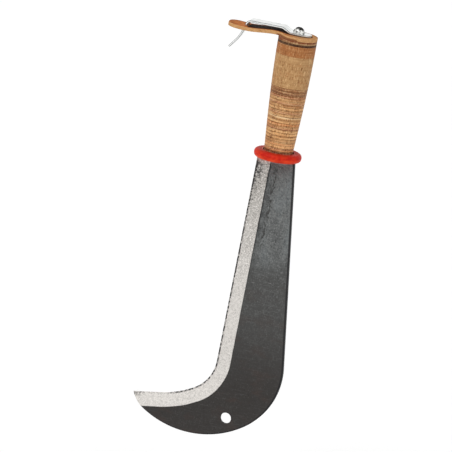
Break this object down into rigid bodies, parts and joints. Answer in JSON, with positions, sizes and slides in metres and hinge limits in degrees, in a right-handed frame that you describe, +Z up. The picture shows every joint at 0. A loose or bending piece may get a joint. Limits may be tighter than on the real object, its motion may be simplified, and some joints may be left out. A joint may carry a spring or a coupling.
{
  "type": "billhook",
  "caption": "Hooked pruning billhook: forged blade with a ground bevel, red guard ring, stacked leather grip with a leather tongue, and a bent steel belt hook.",
  "frame": {"origin": "point on the underside of the leather tongue, in the middle plane of the tool, where the top edge of a belt bears when the tool hangs from it", "axes": "+Z up along the grip to the pommel, blade hanging towards -Z; the cutting edge, tongue and belt hook face -X and the back of the blade faces +X; the flats of the blade face -Y and +Y"},
  "size_m": [0.1386, 0.045, 0.4007],
  "materials": {
    "blade_steel": "dark forging scale under varnish, with a bright ground bevel on both faces of the cutting edge",
    "ring_red": "orange-red, satin, rounded rim",
    "leather_tan": "sanded disc edges, tan, each a little different, fine cross fibres",
    "leather_light": "sanded smooth, light beige, joints almost invisible",
    "leather_brown": "sanded smooth, orange-brown dye",
    "leather_black": "black-brown dye",
    "leather_red_brown": "rough reddish-brown edge",
    "leather_tongue": "reddish-brown grain side with a raw tan cut edge",
    "hook_steel": "bright plating, slightly dulled"
  },
  "bodies": {
    "root": {"blade": "blade_steel", "guard_ring": "ring_red", "thin_disc_01": "leather_tan", "thin_disc_02": "leather_tan", "thin_disc_03": "leather_tan", "thin_disc_04": "leather_tan", "thin_disc_05": "leather_tan", "thin_disc_06": "leather_tan", "thin_disc_07": "leather_tan", "thin_disc_08": "leather_tan", "thin_disc_09": "leather_tan", "thin_disc_10": "leather_tan", "thin_disc_11": "leather_tan", "thin_disc_12": "leather_tan", "thin_disc_13": "leather_tan", "thin_disc_14": "leather_tan", "thin_disc_15": "leather_tan", "thin_disc_16": "leather_tan", "thin_disc_17": "leather_tan", "thin_disc_18": "leather_tan", "thin_disc_19": "leather_tan", "thin_disc_20": "leather_tan", "thin_disc_21": "leather_tan", "wide_disc_01": "leather_light", "wide_disc_02": "leather_light", "wide_disc_03": "leather_light", "wide_disc_04": "leather_light", "wide_disc_05": "leather_light", "dyed_disc_01": "leather_brown", "dyed_disc_02": "leather_brown", "dark_disc": "leather_black", "pommel_disc": "leather_red_brown", "tongue": "leather_tongue", "belt_hook": "hook_steel"}
  },
  "joints": []
}
